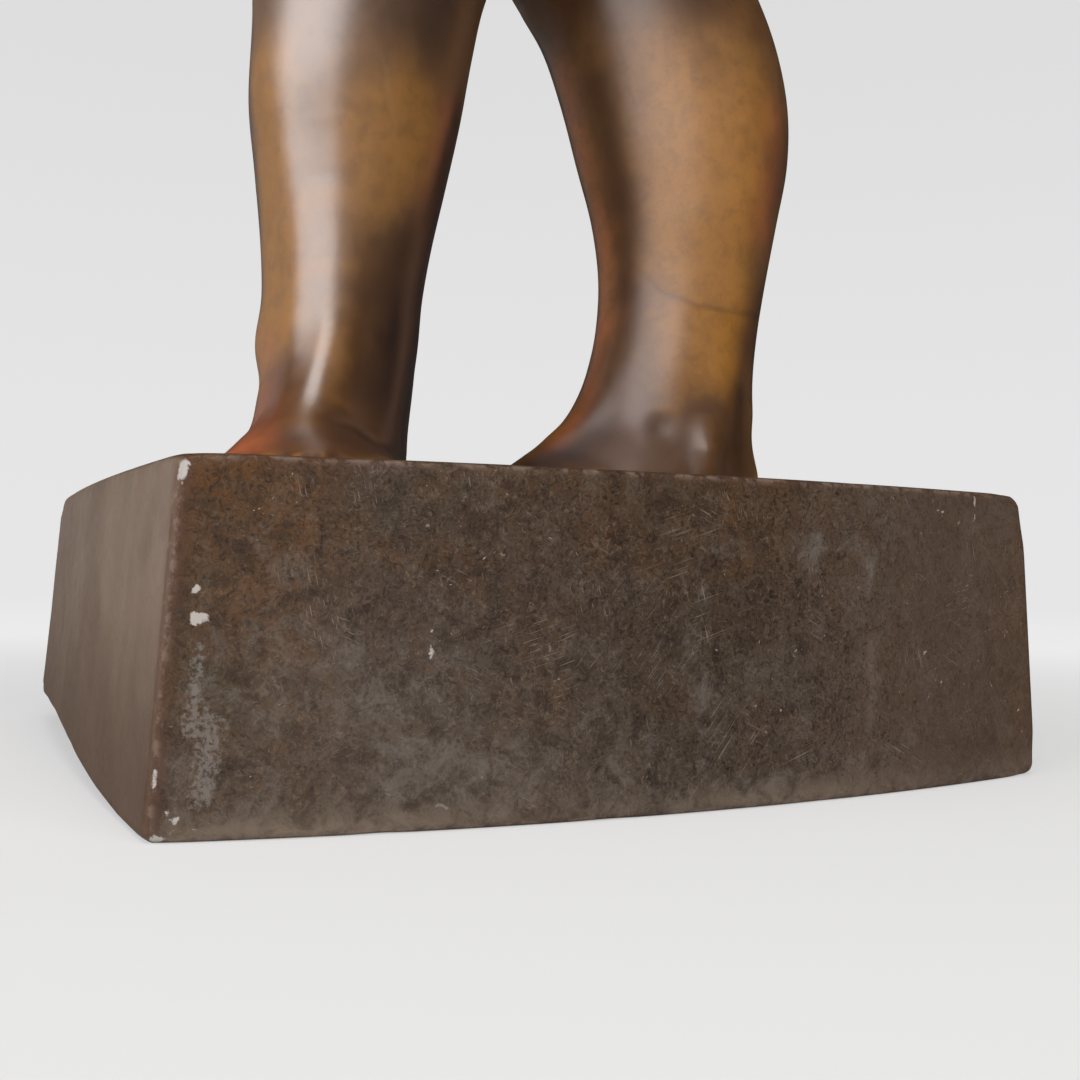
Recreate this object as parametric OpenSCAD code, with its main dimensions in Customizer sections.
// Bronze statuette: a striding figure in a belted tunic on a hollow block.
// The figure is cast in sections that meet at its hem, sleeves and collar.
// It faces -Y, its left side is +X, and the origin is under the middle of the block.

/* [Block] */
// Height of the block
base_h = 54; // [46:1:64]
// Length of the block's top edge along the stride
base_l = 160; // [158:1:172]
// Width of the block's top across the stride, between the ends of its bowed faces
base_w = 160; // [158:1:176]
// How far each long face bows out in the middle
face_bow = 8.5; // [6:0.5:11]
// How far each end face bows out in the middle
end_bow = 2.5; // [1:0.5:4]
// Thickness of the block's side walls
base_wall = 6; // [5:0.5:8]
// Thickness of the block's top
base_top = 8; // [6:0.5:10]

/* [Figure] */
// How far the leading foot turns out
left_turn = 58; // [52:1:62]
// How far the trailing foot turns out
right_turn = 15; // [8:1:20]
// Number of sides round each leg
leg_sides = 28; // [20:4:32]
// Number of sides round the tunic
body_sides = 40; // [32:4:44]
// Thickness of the tunic's bronze below the shoulders
body_wall = 6; // [5:0.5:7]

/* [Joints] */
// Diameter of the studs in the soles
stud_d = 6; // [5:0.5:7]
// Diameter of the thigh tenons
thigh_tenon_d = 24; // [20:1:26]
// Diameter of the arm tenons
arm_tenon_d = 16; // [12:1:18]
// Diameter of the neck tenon
neck_tenon_d = 22; // [18:1:24]
// Diameter of the cross pins
pin_d = 4; // [3:0.5:5]
// Gap all round a pin, tenon or stud in its hole
fit_gap = 0.05; // [0.05:0.05:0.2]

/* [Hidden] */

bronze = "#6a4a2c";
dark_bronze = "#3d2a1e";
steel = "#8d8f92";
round_sides = 64;
bow_sides = 720;
// How far a cut or a tenon runs past the face that it starts from
past = 1;

// The block's faces lean out towards the bottom
long_face_lean = 0.02;
end_face_lean = 0.07;
// Radius of an arc over a chord, from how far it bows out
function arc_r(chord, bow) = (pow(chord / 2, 2) + pow(bow, 2)) / (2 * bow);

// Patch in the long face, and plugs in the opposite one
patch_y = 18;
patch_w = 36;
patch_z = [5, 43];
patch_corner_r = 5;
base_plug_d = 9;
base_plug_y = [-42, 42];
base_plug_z = 30;

// Ankles in plan, and the studs along each foot from the ankle
left_ankle = [3, -35];
right_ankle = [-7, 55];
stud_along = [-6, 24];
stud_in_foot = 13;
stud_below_top = 14;
washer_d = 14;
washer_t = 1.6;
nut_across_flats = 10;
nut_t = 5;

// Rows of a leg, from the thigh down. Front and back points are measured along the foot from
// the ankle and up from the sole: front, its height, back, its height, sideways shift, half width.
left_leg_rows = [
    [26, 156, -32, 156, 25, 26],
    [27.5, 138, -30, 138, 19, 25.5],
    [29.5, 121, -28, 121, 12.5, 24],
    [30.5, 106, -26.5, 106, 7.5, 23],
    [27.5, 94, -28, 94, 5, 22.3],
    [25, 80, -27.5, 80, 3, 21.8],
    [21.5, 66, -24.5, 66, 2.2, 19.8],
    [19.5, 52, -22, 52, 1.5, 17.6],
    [20, 40, -20, 40, 1.2, 16.3],
    [21.5, 32, -19, 30, 1, 16.3],
    [24, 25, -19.5, 20, 1.5, 15.2],
    [27, 19, -20, 11, 1, 15],
    [30, 15, -19.5, 4, 1, 15],
    [33, 12, -14, 0, 1, 15],
    [36, 9.5, 0, 0, 1.5, 15.5],
    [39.5, 7.5, 20, 0, 2.5, 15.5],
    [43, 5.8, 34, 0, 3, 15],
    [47, 4.2, 44, 0, 3, 12.5],
    [49.5, 2.2, 49, 0.4, 3, 8]
];
right_leg_rows = [
    [54, 156, -4, 156, -2, 26],
    [46, 138, -11, 138, -1, 25.5],
    [41, 125, -19, 125, -1, 24.5],
    [34.5, 112, -24, 112, 0, 23.5],
    [29.5, 98, -27, 98, 0, 23],
    [25.5, 84, -27, 84, 0, 22],
    [21.5, 70, -24.5, 70, 0, 20],
    [19.5, 56, -22, 56, 0, 18],
    [20, 43, -20, 43, 0, 17],
    [22, 33, -19, 31, 0, 17],
    [24.5, 26, -19.5, 20, 0, 16.5],
    [28, 20, -20, 11, 0, 16],
    [32, 16, -19.5, 4, 0, 15.5],
    [35, 13.5, -14, 0, 0, 15.5],
    [38, 11.5, 0, 0, 0, 16],
    [41.5, 9, 20, 0, 0, 16],
    [45, 7, 34, 0, 0, 16],
    [48.5, 5, 45, 0, 0, 14],
    [51, 2.6, 50.5, 0.4, 0, 9]
];

// Hollow of a leg, as a share of its rows' breadth
leg_core_share = 0.66;
leg_core_sides = 16;
row_steps = 2;
leg_core_rows = 8;

// Rows of the tunic from hem to collar: height above the block, backward shift, half width,
// front reach, back reach. The belt stands out between heights 249 and 263.
body_x = -1;
body_rows = [
    [146, 10, 60, 64, 64],
    [165, 9, 56, 58, 58],
    [190, 7, 50.5, 49, 51],
    [215, 6, 46, 41.5, 45],
    [236, 5, 42, 35.5, 38.5],
    [248, 5, 40, 32.5, 35],
    [249, 5, 42, 34.5, 37],
    [263, 5, 41, 34, 36],
    [264, 5, 38.5, 32, 34],
    [280, 4, 39, 34, 35],
    [302, 4, 40.3, 36.5, 37],
    [322, 4, 45, 36, 37.5],
    [338, 4, 46.5, 33, 35.5],
    [348, 4, 43.5, 28.5, 31],
    [355, 4, 37, 24.5, 27],
    [361, 4, 28.5, 21, 23.5],
    [366, 4, 20.5, 18.5, 20.5]
];
hem_h = body_rows[0][0];
collar_h = body_rows[len(body_rows) - 1][0];
hem_depth = 10;
leg_top_h = hem_h + hem_depth;
floor_t = 6;
hem_wall = 5;
core_bottom_h = leg_top_h + floor_t;
core_top_h = 346;
core_sides = 24;
body_axis_y = body_rows[len(body_rows) - 1][1];
// The hollow narrows above this height, to leave metal behind the seats of the arms
chest_h = 290;
chest_core_half = 28;

// Flat seats of the arms at the shoulders
arm_seat_x = 40;
arm_seat_low_h = 294;
arm_joint_h = 328;
arm_tenon_l = 18;
arm_pin_x = 32;
arm_pin_y = [-7, 24];

// Rows of an arm, from the seat down. Outer and inner points are measured from the figure's
// middle: outer, its height, inner, its height, swing, half depth.
arm_rows = [
    [40, 349, 40, 306, 0, 17.5],
    [52, 345, 46, 298, 0, 21],
    [63, 337, 49, 292.5, 0, 22],
    [70.5, 324.5, 50, 288.5, 0.5, 22],
    [76, 307, 50, 285, 1, 21.5],
    [80, 290, 50, 279, 2, 21],
    [77, 289, 52.5, 279.5, 2, 17.5],
    [77, 270, 52, 265, 4, 17],
    [77.5, 250, 52.5, 247, 6.5, 16],
    [78, 232, 53.5, 231, 10, 15.5],
    [77, 212, 57, 212, 13.5, 13.5],
    [75.5, 196, 60.5, 196, 16, 11],
    [76, 187, 60, 187, 17.5, 12.5],
    [75.5, 174, 60.5, 174, 19, 14],
    [74, 163, 62, 163, 20, 12],
    [71.5, 156, 66, 156, 20.5, 6.5]
];
left_swing = 1.1;
right_swing = -1.3;
arm_sides = 22;

// Rows of the head from collar to crown: height above the block, backward shift, half width,
// front reach, back reach
head_rows = [
    [366, 4, 18, 16.5, 19],
    [374, 3, 17, 16, 19.5],
    [380, 2, 18.5, 21, 21],
    [384, 2, 20, 26, 23.5],
    [390, 2, 22.5, 28, 27],
    [400, 2, 25, 28, 30],
    [412, 2, 26.5, 27.5, 31.5],
    [422, 2, 26.5, 27.5, 31.5],
    [432, 2, 22.5, 23, 27.5],
    [438, 2, 15, 15.5, 19],
    [441, 2, 6, 6, 8]
];
head_sides = 36;
nose_h = 401;
nose_reach = 5;
nose_half_height = 11;
nose_half_angle = 16;
neck_tenon_l = 21;
neck_pin_h = 357;
head_core_r = 18;
head_core_h = 410;
neck_bore_d = 10;
neck_pin_y = [-8, 24];

// The holes of pins and plugs run out through the skin beyond the piece in them
hole_run_out = 6;
hip_pin_h = 170;
hip_pin_reach = 48;
hip_boss_d = thigh_tenon_d + 12;
hip_boss_l = 14;
thigh_tenon_l = floor_t + hip_boss_l + 2;
thigh_tenon_bore_d = thigh_tenon_d - 10;

body_plug_d = 8;
body_plug_l = 9;
body_plug_h = [205, 292];
body_plug_sink = 0.5;

// Value at t between b and c on a smooth curve through a, b, c and d
function curve_at(a, b, c, d, t) =
    b + 0.5 * t * ((c - a) + t * ((2 * a - 5 * b + 4 * c - d) + t * (3 * (b - c) + d - a)));

// Rows with extra rows set smoothly between them
function fill_rows(rows, steps) = let (last = len(rows) - 1) [
    for (i = [0 : last - 1], k = [0 : steps - 1])
        curve_at(rows[max(i - 1, 0)], rows[i], rows[i + 1], rows[min(i + 2, last)], k / steps),
    rows[last]
];

// Ring through a front and a back point, with its half width along a sideways direction
function ring(front, back, sideways, half, sides) =
    let (middle = (front + back) / 2, reach = (front - back) / 2) [
        for (i = [0 : sides - 1]) let (a = 360 * i / sides)
            middle + reach * cos(a) + sideways * half * sin(a)
    ];

// Upright ring with its own reach to the front and to the back, with a nose where one is asked for
function body_ring(row, sides, nose) = [
    for (i = [0 : sides - 1])
        let (
            a = 360 * i / sides,
            off_front = min(a, 360 - a),
            lift = max(0, 1 - abs(row[0] - nose_h) / nose_half_height),
            bump = nose * lift * max(0, 1 - off_front / nose_half_angle),
            reach = (cos(a) > 0 ? row[3] : row[4]) + bump
        )
        [body_x - row[2] * sin(a), row[1] - reach * cos(a), base_h + row[0]]
];

// Solid skin over rings that all have the same number of points
module skin(rings) {
    sides = len(rings[0]);
    count = len(rings);
    points = [for (r = rings) each r];
    walls = [
        for (j = [0 : count - 2], i = [0 : sides - 1])
            let (k = (i + 1) % sides, a = j * sides, b = a + sides)
            each [[a + i, a + k, b + i], [a + k, b + k, b + i]]
    ];
    first_cap = [for (i = [1 : sides - 2]) [0, i + 1, i]];
    end = (count - 1) * sides;
    last_cap = [for (i = [1 : sides - 2]) [end, end + i, end + i + 1]];
    polyhedron(points, concat(walls, first_cap, last_cap));
}

// Block shrunk by a margin on its four sides, between two heights
module block(margin, low, high) {
    long_r = arc_r(base_l, face_bow);
    end_r = arc_r(base_w, end_bow);
    intersection() {
        bowed_face(0, base_w / 2 + face_bow, long_r, long_face_lean, margin, low, high);
        bowed_face(180, base_w / 2 + face_bow, long_r, long_face_lean, margin, low, high);
        bowed_face(90, base_l / 2 + end_bow, end_r, end_face_lean, margin, low, high);
        bowed_face(270, base_l / 2 + end_bow, end_r, end_face_lean, margin, low, high);
    }
}

// Solid behind one face of the block, with the face's reach, radius and lean
module bowed_face(turn, reach, radius, lean, margin, low, high) {
    low_r = radius + lean * (base_h - low) - margin;
    high_r = radius + lean * (base_h - high) - margin;
    rotate(turn)
        translate([reach - radius, 0, low])
            cylinder(h = high - low, r1 = low_r, r2 = high_r, $fn = bow_sides);
}

module patch_prism() {
    low = patch_z[0] + patch_corner_r;
    high = patch_z[1] - patch_corner_r;
    half = patch_w / 2 - patch_corner_r;
    rotate([90, 0, 90])
        linear_extrude(height = base_w) {
            translate([patch_y - half - patch_corner_r, low])
                square([patch_w, high - low]);
            translate([patch_y - half, patch_z[0]])
                square([2 * half, patch_z[1] - patch_z[0]]);
            for (y = [patch_y - half, patch_y + half], z = [low, high])
                translate([y, z]) circle(r = patch_corner_r, $fn = round_sides);
        }
}

module base_plug_rods() {
    for (y = base_plug_y)
        translate([0, y, base_plug_z])
            rotate([0, -90, 0]) cylinder(h = base_w, d = base_plug_d, $fn = round_sides);
}

// Places its children at every stud, at the top of the block
module at_studs() {
    for (along = stud_along) {
        translate([left_ankle[0], left_ankle[1], base_h])
            rotate(left_turn) translate([0, -along, 0]) children();
        translate([right_ankle[0], right_ankle[1], base_h])
            rotate(-right_turn) translate([0, -along, 0]) children();
    }
}

module base_casting() {
    color(dark_bronze)
        difference() {
            block(0, 0, base_h);
            block(base_wall, -past, base_h - base_top);
            patch_prism();
            base_plug_rods();
            at_studs()
                translate([0, 0, -base_top - past])
                    cylinder(h = base_top + 2 * past, d = stud_d + 2 * fit_gap, $fn = round_sides);
        }
}

module window_patch() {
    color(dark_bronze)
        difference() {
            intersection() {
                block(0, 0, base_h);
                patch_prism();
            }
            block(base_wall, -past, base_h - base_top);
        }
}

module base_core_plugs() {
    color(dark_bronze)
        difference() {
            intersection() {
                block(0, 0, base_h);
                base_plug_rods();
            }
            block(base_wall, -past, base_h - base_top);
        }
}

module foot_studs() {
    color(steel)
        at_studs()
            translate([0, 0, -base_top - stud_below_top])
                cylinder(h = base_top + stud_below_top + stud_in_foot, d = stud_d, $fn = round_sides);
}

module stud_washers() {
    color(steel)
        at_studs()
            translate([0, 0, -base_top - washer_t])
                difference() {
                    cylinder(h = washer_t, d = washer_d, $fn = round_sides);
                    translate([0, 0, -past])
                        cylinder(h = washer_t + 2 * past, d = stud_d + 2 * fit_gap, $fn = round_sides);
                }
}

module stud_nuts() {
    color(steel)
        at_studs()
            translate([0, 0, -base_top - washer_t - nut_t])
                difference() {
                    cylinder(h = nut_t, d = nut_across_flats / cos(30), $fn = 6);
                    translate([0, 0, -past])
                        cylinder(h = nut_t + 2 * past, d = stud_d + 2 * fit_gap, $fn = round_sides);
                }
}

// Rings of a leg from its rows, drawn in to a share of its breadth
function leg_rings(rows, ankle, turn, share, sides) =
    let (ahead = [sin(turn), -cos(turn), 0], sideways = [cos(turn), sin(turn), 0]) [
        for (row = rows)
            let (
                mid = (row[0] + row[2]) / 2,
                reach = (row[0] - row[2]) / 2 * share,
                foot = [ankle[0], ankle[1], base_h] + sideways * row[4],
                front = foot + ahead * (mid + reach) + [0, 0, row[1]],
                back = foot + ahead * (mid - reach) + [0, 0, row[3]]
            )
            [for (p = ring(front, back, sideways, row[5] * share, sides)) [p[0], p[1], max(p[2], base_h)]]
    ];

// Middle of the thigh's flat top, in plan
function thigh_top(rows, ankle, turn) =
    let (row = rows[0], mid = (row[0] + row[2]) / 2)
        [ankle[0] + sin(turn) * mid + cos(turn) * row[4], ankle[1] - cos(turn) * mid + sin(turn) * row[4]];

left_thigh = thigh_top(left_leg_rows, left_ankle, left_turn);
right_thigh = thigh_top(right_leg_rows, right_ankle, -right_turn);

module at_thigh(thigh, h) {
    translate([thigh[0], thigh[1], base_h + h]) children();
}

// Pin from the far side of a thigh's tenon out to the tunic's skin, or the longer hole for it
module hip_pin_rod(side, thigh, gap, run_out) {
    start_x = thigh[0] - side * (thigh_tenon_d / 2 + gap);
    reach = abs(body_x + side * hip_pin_reach - start_x);
    translate([start_x, thigh[1], base_h + hip_pin_h])
        rotate([0, 90 * side, 0])
            cylinder(h = reach + run_out, d = pin_d + 2 * gap, $fn = round_sides);
}

module leg(side, rows, ankle, turn, thigh) {
    hollow_rows = [for (i = [1 : leg_core_rows - 1]) rows[i]];
    difference() {
        union() {
            skin(leg_rings(fill_rows(rows, row_steps), ankle, turn, 1, leg_sides));
            at_thigh(thigh, leg_top_h - past)
                cylinder(h = thigh_tenon_l + past, d = thigh_tenon_d, $fn = round_sides);
        }
        skin(leg_rings(hollow_rows, ankle, turn, leg_core_share, leg_core_sides));
        at_thigh(thigh, hollow_rows[0][1] - past)
            cylinder(h = 2 * thigh_tenon_l, d = thigh_tenon_bore_d, $fn = round_sides);
        hip_pin_rod(side, thigh, fit_gap, 0);
        at_studs()
            translate([0, 0, -past])
                cylinder(h = stud_in_foot + past, d = stud_d + 2 * fit_gap, $fn = round_sides);
    }
}

module left_leg() {
    color(bronze) leg(1, left_leg_rows, left_ankle, left_turn, left_thigh);
}

module right_leg() {
    color(bronze) leg(-1, right_leg_rows, right_ankle, -right_turn, right_thigh);
}

module hip_pins() {
    color(bronze) {
        hip_pin_rod(1, left_thigh, 0, 0);
        hip_pin_rod(-1, right_thigh, 0, 0);
    }
}

// Rows drawn in by a wall
function inset_rows(rows, wall) = [for (r = rows) [r[0], r[1], r[2] - wall, r[3] - wall, r[4] - wall]];

// A row moved to another height
function at_height(row, h) = [h, row[1], row[2], row[3], row[4]];

// Rows of the tunic's hollow above its floor
function body_core_rows() = let (
        inner = [
            for (r = inset_rows(body_rows, body_wall))
                if (r[0] > core_bottom_h + past && r[0] < core_top_h)
                    [r[0], r[1], r[0] > chest_h ? chest_core_half : r[2], r[3], r[4]]
        ]
    )
    concat([at_height(inner[0], core_bottom_h)], inner, [at_height(inner[len(inner) - 1], core_top_h)]);

// Rows of the space under the hem
function hem_rows() = let (low = inset_rows(body_rows, hem_wall))
    [at_height(low[0], hem_h - past), at_height((low[0] + low[1]) / 2, leg_top_h)];

// Place of the tunic's back along Y at a height above the block
function back_at(h) = lookup(h, [for (r = body_rows) [r[0], r[1] + r[4]]]);

module arm_tenon(side, gap) {
    translate([body_x + side * arm_seat_x, body_axis_y, base_h + arm_joint_h])
        rotate([0, -90 * side, 0])
            translate([0, 0, -past])
                cylinder(h = arm_tenon_l + past + gap, d = arm_tenon_d + 2 * gap, $fn = round_sides);
}

// Rod along Y at a place in X and a height, between two places that are measured from the body's axis
module back_rod(x, span, h, d) {
    translate([body_x + x, body_axis_y + span[0], base_h + h])
        rotate([-90, 0, 0])
            cylinder(h = span[1] - span[0], d = d, $fn = round_sides);
}

// Pin from the tunic's back into an arm's tenon, or the longer hole for it
module arm_pin_rod(side, gap, run_out) {
    span = [arm_pin_y[0] - gap, arm_pin_y[1] + run_out];
    back_rod(side * arm_pin_x, span, arm_joint_h, pin_d + 2 * gap);
}

module neck_tenon(gap) {
    translate([body_x, body_axis_y, base_h + collar_h - neck_tenon_l - gap])
        cylinder(h = neck_tenon_l + past + gap, d = neck_tenon_d + 2 * gap, $fn = round_sides);
}

// Pin from the tunic's back into the neck's tenon, or the longer hole for it
module neck_pin_rod(gap, run_out) {
    span = [neck_pin_y[0] - gap, neck_pin_y[1] + run_out];
    back_rod(0, span, neck_pin_h, pin_d + 2 * gap);
}

// Everything outside the flat seat of an arm
module beyond_seat(side) {
    far = base_w;
    translate([body_x + side * (arm_seat_x + far / 2), body_axis_y, base_h + arm_seat_low_h + far / 2])
        cube(far, center = true);
}

module body_plug_rods(gap, run_out) {
    for (h = body_plug_h) {
        end = back_at(h) - body_axis_y - body_plug_sink;
        span = [end - body_plug_l - gap, end + run_out];
        back_rod(0, span, h, body_plug_d + 2 * gap);
    }
}

module tunic_body() {
    color(bronze)
        difference() {
            union() {
                difference() {
                    skin([for (r = fill_rows(body_rows, row_steps)) body_ring(r, body_sides, 0)]);
                    skin([for (r = body_core_rows()) body_ring(r, core_sides, 0)]);
                    skin([for (r = hem_rows()) body_ring(r, body_sides, 0)]);
                }
                for (thigh = [left_thigh, right_thigh])
                    at_thigh(thigh, core_bottom_h - past)
                        cylinder(h = hip_boss_l + past, d = hip_boss_d, $fn = round_sides);
            }
            for (side = [1, -1]) {
                beyond_seat(side);
                arm_tenon(side, fit_gap);
                arm_pin_rod(side, fit_gap, hole_run_out);
            }
            for (thigh = [left_thigh, right_thigh])
                at_thigh(thigh, hem_h)
                    cylinder(h = hem_depth + thigh_tenon_l, d = thigh_tenon_d + 2 * fit_gap, $fn = round_sides);
            hip_pin_rod(1, left_thigh, fit_gap, hole_run_out);
            hip_pin_rod(-1, right_thigh, fit_gap, hole_run_out);
            neck_tenon(fit_gap);
            neck_pin_rod(fit_gap, hole_run_out);
            body_plug_rods(fit_gap, hole_run_out);
        }
}

module body_core_plugs() {
    color(bronze) body_plug_rods(0, 0);
}

// Rings of the left arm for a given swing
function arm_rings(swing) = [
    for (row = fill_rows(arm_rows, row_steps))
        let (
            y = body_axis_y + swing * row[4],
            outer = [body_x + row[0], y, base_h + row[1]],
            inner = [body_x + row[2], y, base_h + row[3]]
        )
        ring(outer, inner, [0, 1, 0], row[5], arm_sides)
];

module arm(swing) {
    difference() {
        union() {
            skin(arm_rings(swing));
            arm_tenon(1, 0);
        }
        arm_pin_rod(1, fit_gap, 0);
    }
}

module left_arm() {
    color(bronze) arm(left_swing);
}

module right_arm() {
    color(bronze)
        translate([2 * body_x, 0, 0])
            mirror([1, 0, 0]) arm(right_swing);
}

module arm_pins() {
    color(bronze) {
        arm_pin_rod(1, 0, 0);
        arm_pin_rod(-1, 0, 0);
    }
}

module head() {
    color(bronze)
        difference() {
            union() {
                skin([for (r = fill_rows(head_rows, row_steps)) body_ring(r, head_sides, nose_reach)]);
                neck_tenon(0);
            }
            translate([body_x, body_axis_y, base_h + head_core_h]) sphere(r = head_core_r, $fn = round_sides);
            translate([body_x, body_axis_y, base_h + collar_h - 2 * neck_tenon_l])
                cylinder(h = head_core_h - collar_h + 2 * neck_tenon_l, d = neck_bore_d, $fn = round_sides);
            neck_pin_rod(fit_gap, 0);
        }
}

module neck_pin() {
    color(bronze) neck_pin_rod(0, 0);
}

base_casting();
window_patch();
base_core_plugs();
foot_studs();
stud_washers();
stud_nuts();
left_leg();
right_leg();
hip_pins();
tunic_body();
body_core_plugs();
left_arm();
right_arm();
arm_pins();
head();
neck_pin();
